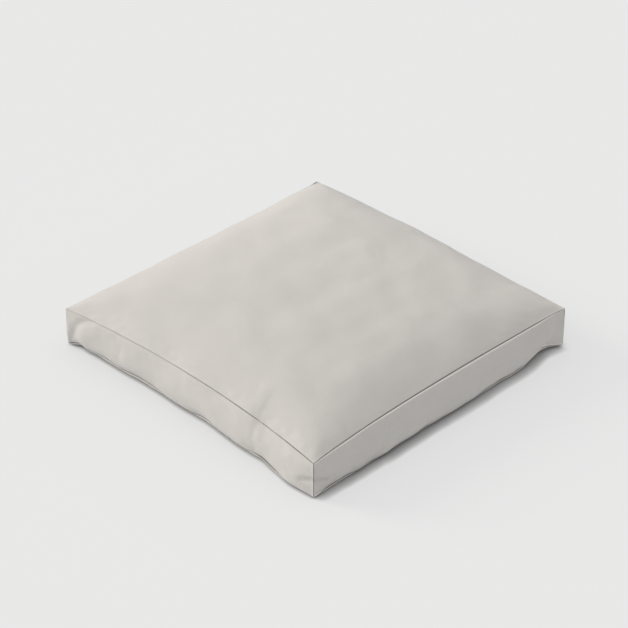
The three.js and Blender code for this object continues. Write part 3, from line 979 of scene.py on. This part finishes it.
def stitches(path, facing, stitch):
    """The tubes of a row of stitches, each lying on the cloth and diving into it at both ends."""
    pitch, radius, cover, lies, dips = stitch
    travel = distances(path[None])[0]
    count = round(travel[-1] / pitch)
    spacing = travel[-1] / count
    along = np.linspace(-1, 1, 7)
    at = (np.arange(count)[:, None] + 0.5 + cover * along) * spacing
    lying, normal = (
        np.stack([np.interp(at, travel, values[:, axis]) for axis in range(3)], axis=-1)
        for values in (path, facing)
    )
    normal = unit(normal)
    height = lies - dips * along**4
    return tube_mesh(lying + normal * height[:, None], normal, radius)


def seam_path(edges):
    """The points and normals along a seam, from the numbers of its points on the lattice."""
    return points[edges], normals[edges]


def loop_path(row):
    """A seam all the way round, along one row of points of each side."""
    sides = [grids[side][:-1, row] for side in ("front", "right", "back", "left")]
    return seam_path(np.concatenate([*sides, grids["front"][:1, row]]))


def zip_row(sign):
    """The line of topstitching beside the zip's fold above (1) or below (-1) it."""
    run = np.linspace(TOPSTITCH_ENDS, 2 * HALF - TOPSTITCH_ENDS, 300)
    heights = ZIP_Z + sign * (slot_half(run, 2 * HALF) + TOPSTITCH_FROM_FOLD)
    plain, facing = back_at(run / (2 * HALF), heights[:, None])
    lift = zip_lift(run, 2 * HALF, np.array([TOPSTITCH_FROM_FOLD]))
    return (plain + facing * lift[..., None])[:, 0], facing[:, 0]


def threads():
    """Every row of stitches: round both seams, up the corners and along the zip."""
    rows = [
        ("top_seam", loop_path(-1), SEAM_STITCH, "top_seam_thread"),
        ("bottom_seam", loop_path(0), SEAM_STITCH, "bottom_seam_thread"),
    ]
    for side, ends in (("front", ("left", "right")), ("back", ("right", "left"))):
        for end, edge in zip(ends, (0, -1)):
            path = seam_path(grids[side][edge])
            corner = f"{side}_{end}"
            rows.append((f"corner_{corner}", path, SEAM_STITCH, f"corner_thread_{corner}"))
    for half, sign in HALVES:
        rows.append((f"zip_{half}", zip_row(sign), ZIP_STITCH, f"zip_topstitch_{half}"))
    for name, path, stitch, replaced in rows:
        make_piece(f"{name}_stitches", stitches(*path, stitch), "seam_thread", replaced)


threads()

# ---- the zip

TAPE_THICK = 0.5 * MM
TAPE_DEPTH = 1.9 * MM  # from the strips' outer face to the tape's
TAPE_EDGES = (0.8 * MM, 15 * MM)
TAPE_POINTS = (240, 9)  # along it and across it
COIL_PITCH = 1.3 * MM
COIL_OFFSET = 0.25  # of a pitch, from one coil to the other
COIL_LEAN = 0.12  # of a pitch, as each turn leans
COIL_FLATNESS = 0.75  # the power that flattens a round turn: 1 leaves it round
FILAMENT_RADIUS = 0.33 * MM
COIL_HEAD = 0.55 * MM  # from the zip's line to the heads, which clears the slider's wedge
STOP_CELLS = 12
STOP_ROUND = 0.45 * MM
CREASE = {"wide": 0.5 * MM, "deep": 0.25 * MM}  # across the middle of a stop


def tape_piece(half, sign):
    """A woven tape behind one strip, from just beside the zip's line."""
    low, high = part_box(f"zip_tape_{half}")
    reach = np.linspace(low.x, high.x, TAPE_POINTS[0])[::-1]
    places = (HALF - reach) / (2 * HALF)
    heights = np.sort(ZIP_Z + sign * np.linspace(*TAPE_EDGES, TAPE_POINTS[1]))
    plain, facing = back_at(places, heights)
    lift = zip_lift(HALF - reach, 2 * HALF, np.zeros(1))
    outer = plain + facing * (lift - TAPE_DEPTH)[..., None]
    first, second = np.meshgrid(-reach, heights - ZIP_Z, indexing="ij")
    pattern = sheet_pattern(first, second, first * 0 + 1)
    mesh = (*sheet_mesh(outer, TAPE_THICK), pattern)
    make_piece(f"zip_tape_{half}_weave", mesh, "zip_tape", f"zip_tape_{half}")


def coil_piece(half, sign):
    """A nylon coil: one filament wound in flattened turns, out of step with the other coil's."""
    low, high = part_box(f"zip_coil_{half}")
    outer_edge = max(abs(low.z - ZIP_Z), abs(high.z - ZIP_Z))
    turns = int((high.x - low.x - 2 * FILAMENT_RADIUS) / COIL_PITCH)
    angle = np.linspace(0, 2 * math.pi * turns, 14 * turns + 1)
    start = (low.x + high.x - turns * COIL_PITCH) / 2
    start += COIL_OFFSET * COIL_PITCH * (sign < 0)
    wide = (outer_edge - COIL_HEAD) / 2 - FILAMENT_RADIUS
    deep = (high.y - low.y) / 2 - FILAMENT_RADIUS
    cos, sin = (np.sign(f(angle)) * np.abs(f(angle)) ** COIL_FLATNESS for f in (np.cos, np.sin))
    middle = ZIP_Z + sign * (outer_edge + COIL_HEAD) / 2
    path = np.stack(
        [
            start + COIL_PITCH * angle / (2 * math.pi) - COIL_LEAN * COIL_PITCH * np.sin(angle),
            (low.y + high.y) / 2 + deep * sin,
            middle - sign * wide * cos,
        ],
        axis=-1,
    )
    radial = np.stack([0 * angle, np.sin(angle), -sign * np.cos(angle)], axis=-1)
    mesh = tube_mesh(path[None], radial[None], FILAMENT_RADIUS)
    make_piece(f"zip_coil_{half}_filament", mesh, "zip_coil", f"zip_coil_{half}")


def lattice_quads(sides):
    """The quads of a whole lattice, as numbers of its points."""
    return np.concatenate([grid.ravel()[quads_of(grid.shape)] for grid in sides.values()])


def rounded_block(low, high, corner, uvw):
    """The points of a block with round edges and corners, for a lattice's (u, v, w)."""
    half = (high - low) / 2
    box = uvw * half
    core = np.clip(box, corner - half, half - corner)
    return (high + low) / 2 + core + corner * unit(box - core)


def stop_piece(name):
    """A metal stop crimped round the coils' ends, with a crease across its middle."""
    low, high = (np.array(corner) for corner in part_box(name))
    uvw, sides = lattice(STOP_CELLS, STOP_CELLS)
    vertices = rounded_block(low, high, STOP_ROUND, np.sin(uvw.T * math.pi / 2))
    middle = (low + high) / 2
    crease = fading(vertices[:, 0] - middle[0], CREASE["wide"])
    vertices[:, 1] -= CREASE["deep"] * crease * (vertices[:, 1] > middle[1])
    mesh = (vertices, lattice_quads(sides).tolist(), vertices)
    make_piece(f"{name}_crimp", mesh, "zip_metal", name)


def cast_piece(name, body, width):
    """A metal part as the frame has it, with its sharp edges rounded off."""
    mould = add_object(f"{name}_mould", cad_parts[name].data.copy())
    mould.modifiers.new("weld", "WELD").merge_threshold = 0.002 * MM
    flat = mould.modifiers.new("flat", "DECIMATE")
    flat.decimate_type = "DISSOLVE"
    flat.angle_limit = math.radians(1)
    edges = mould.modifiers.new("edges", "BEVEL")
    edges.width = width
    edges.segments = 3
    edges.angle_limit = math.radians(35)
    mould.modifiers.new("cut", "TRIANGULATE")
    cast = mould.evaluated_get(bpy.context.evaluated_depsgraph_get()).to_mesh()
    vertices = np.array([vertex.co for vertex in cast.vertices])
    faces = [list(face.vertices) for face in cast.polygons]
    bpy.data.objects.remove(mould)
    make_piece(f"{name}_metal", (vertices, faces, vertices), "zip_metal", name, body)


def zip_parts():
    """The zip: both halves, their stops, and the slider with its pull."""
    for half, sign in HALVES:
        tape_piece(half, sign)
        coil_piece(half, sign)
        stop_piece(f"zip_top_stop_{half}")
    stop_piece("zip_bottom_stop")
    cast_piece("zip_slider_body", "zip_slider", 0.12 * MM)
    cast_piece("zip_pull_tab", "zip_pull", 0.15 * MM)


zip_parts()

# ---- the filling

LINING_DEPTH = 1.5 * MM  # from the cover's outer face
LINING_THICK = 0.5 * MM
WRAP_DEPTH = 2.4 * MM
# How much deeper the filling lies along a seam, to clear the allowances, and behind the zip, and
# how far on each side it does so.
SEAM_TUCK = {"deep": 8 * MM, "reach": 7 * MM}
ZIP_POCKET = {"deep": 3.6 * MM, "reach": 20 * MM}
FOAM_CORNER = 6 * MM
FOAM_CLEAR = 0.6 * MM
HALVES_GAP = 0.15 * MM  # from each half of the lining and the wrap to the line where they meet


def coarse_cover():
    """Every second point of the settled cover: its (u, v, w), points, normals and sides' grids."""
    uvw, sides = lattice(*(count // 2 for count in SETTLING[-1][:2]))
    at, facing = np.empty(uvw.T.shape), np.empty(uvw.T.shape)
    for side, grid in sides.items():
        at[grid] = points[grids[side]][::2, ::2]
        facing[grid] = normals[grids[side]][::2, ::2]
    return uvw.T, at, facing, sides


def inner_layer(uvw, at, facing, depth):
    """The cover's points moved inwards, and further in along its seams and behind its zip."""
    to_edges = np.sort((1 - np.abs(uvw)) * (HALF, HALF, at[:, 2].mean()), axis=1)
    tuck = SEAM_TUCK["deep"] * fading(to_edges[:, 1], SEAM_TUCK["reach"])
    by_zip = (uvw[:, 1] > NEAR_BACK) * fading(at[:, 2] - ZIP_Z, ZIP_POCKET["reach"])
    pocket = ZIP_POCKET["deep"] * by_zip
    return at - facing * (depth + tuck + pocket)[:, None]


def shell(outer, inner, sides, keep):
    """The closed shell between two layers of a lattice, over the quads whose points are all kept."""
    loops = lattice_quads(sides)
    used, loops = np.unique(loops[keep[loops].all(axis=1)], return_inverse=True)
    loops = loops.reshape(-1, 4)
    count = len(used)
    edges = np.concatenate([loops[:, [k, (k + 1) % 4]] for k in range(4)])
    rim = edges[~np.isin(edges @ (count, 1), edges @ (1, count))]
    rim = np.concatenate([rim[:, ::-1], rim + count], axis=1)
    faces = np.concatenate([loops, loops[:, ::-1] + count, rim])
    return np.concatenate([outer[used], inner[used]]), faces.tolist()


def filling_pieces():
    """The halves of the lining and of the fibre wrap, and the foam core in the middle."""
    uvw, at, facing, sides = coarse_cover()
    lining_outer, lining_inner, wrap_outer = (
        inner_layer(uvw, at, facing, depth)
        for depth in (LINING_DEPTH, LINING_DEPTH + LINING_THICK, WRAP_DEPTH)
    )
    pocket = rounded_block(FOAM_LOW - FOAM_CLEAR, FOAM_HIGH + FOAM_CLEAR, FOAM_CORNER, uvw)
    for half, sign in (("top", 1), ("bottom", -1)):
        keep = sign * uvw[:, 2] >= 0
        apart = np.outer(uvw[:, 2] == 0, (0, 0, sign * HALVES_GAP))
        case = shell(lining_outer + apart, lining_inner + apart, sides, keep)
        wrap = shell(wrap_outer + apart, pocket + apart, sides, keep)
        lining, wadding = f"lining_{half}", f"fibre_wrap_{half}"
        make_piece(f"{lining}_case", (*case, case[0]), "lining_cloth", lining)
        piece = make_piece(f"{wadding}_wadding", (*wrap, wrap[0]), "fibre_wrap", wadding)
    core = rounded_block(FOAM_LOW, FOAM_HIGH, FOAM_CORNER, uvw)
    mesh = (core, lattice_quads(sides).tolist(), core)
    make_piece("foam_core_slab", mesh, "foam", "foam_core")


filling_pieces()

# ---- stage, light and camera

FLOOR_HALF = 30.0
FLOOR = {"reflects": 0.2, "glows": 0.615}  # it glows, so that shadows on it stay pale
SUN = {"from": (-0.86, -0.385, 0.335), "strength": 2.45, "softness": 25, "colour": (1, 0.94, 0.89)}
SKY = {"horizon": 0.2, "zenith": 1.0}  # the room's brightness, low and overhead
UP = (0, 0, 1)
# How the cushion darkens the floor's glow: what the floor faces, how far off the cushion counts, the
# shares of open air at which the floor is darkest and palest, and its darkest tone.
SHADES = (
    (UP, 7 * MM, (0.2, 0.9), 0.35),  # under the cushion's edge
    (SUN["from"], 24 * MM, (0.25, 0.8), 0.0),  # beside it, away from the light
    (UP, 260 * MM, (0.0, 1.0), 0.86),  # all round it
)


def shade(shader, facing, reach, open_air, darkest):
    """How much a floor glows where the cushion hides part of what it faces."""
    normal = node(shader, "CombineXYZ", dict(enumerate(facing))).outputs[0]
    inputs = {"Distance": reach, "Normal": normal}
    seen = node(shader, "AmbientOcclusion", inputs).outputs["AO"]
    return mapped(seen, *open_air, darkest, 1.0)


def make_floor():
    """A pale seamless floor that glows as well as being lit, so that shadows on it are faint; the
    cushion's shadows are painted into its glow.
    """
    corners = [(x * FLOOR_HALF, y * FLOOR_HALF, 0) for x, y in ((-1, -1), (1, -1), (1, 1), (-1, 1))]
    mesh = bpy.data.meshes.new("floor")
    mesh.from_pydata(corners, [], [(0, 1, 2, 3)])
    material, shader = new_material("floor")
    inputs = {
        "Base Color": (*[FLOOR["reflects"]] * 3, 1),
        "Roughness": 1.0,
        "Specular IOR Level": 0.0,
        "Emission Color": (1, 1, 1, 1),
        "Emission Strength": product(*(shade(shader, *how) for how in SHADES), FLOOR["glows"]),
    }
    feed(shader, inputs)
    mesh.materials.append(material)
    add_object("floor", mesh)


def make_light():
    """A large soft warm light, low on the left, in a white room that is brightest overhead."""
    sun = bpy.data.lights.new("window", "SUN")
    sun.energy = SUN["strength"]
    sun.angle = math.radians(SUN["softness"])
    sun.color = SUN["colour"]
    lamp = add_object("window", sun)
    lamp.rotation_euler = Vector(SUN["from"]).to_track_quat("Z", "Y").to_euler()
    world = bpy.data.worlds.new("room")
    world.use_nodes = True
    sky = world.node_tree.nodes["Background"]
    where = node(sky, "TexCoord", {}).outputs["Generated"]
    height = node(sky, "SeparateXYZ", {0: where}).outputs["Z"]
    brightness = mapped(height, 0.0, 1.0, SKY["horizon"], SKY["zenith"])
    feed(sky, {"Color": (1, 1, 1, 1), "Strength": brightness})
    bpy.context.scene.world = world
    bpy.context.scene.view_settings.view_transform = "Standard"


CAMERA = {"azimuth": 45.4, "elevation": 34.05, "distance": 4.235, "lens": 143.0}
CAMERA_AIM = Vector((-1.6 * MM, -1.6 * MM, 65 * MM))


def make_camera():
    """A long lens, high up and facing the near corner."""
    camera = bpy.data.cameras.new("camera")
    camera.lens = CAMERA["lens"]
    camera.sensor_width = 36
    azimuth, elevation = (math.radians(CAMERA[key]) for key in ("azimuth", "elevation"))
    level = math.cos(elevation)
    back = Vector((math.sin(azimuth) * level, -math.cos(azimuth) * level, math.sin(elevation)))
    eye = add_object("camera", camera)
    eye.location = CAMERA_AIM + back * CAMERA["distance"]
    eye.rotation_euler = back.to_track_quat("Z", "Y").to_euler()
    bpy.context.scene.camera = eye


make_floor()
make_light()
make_camera()
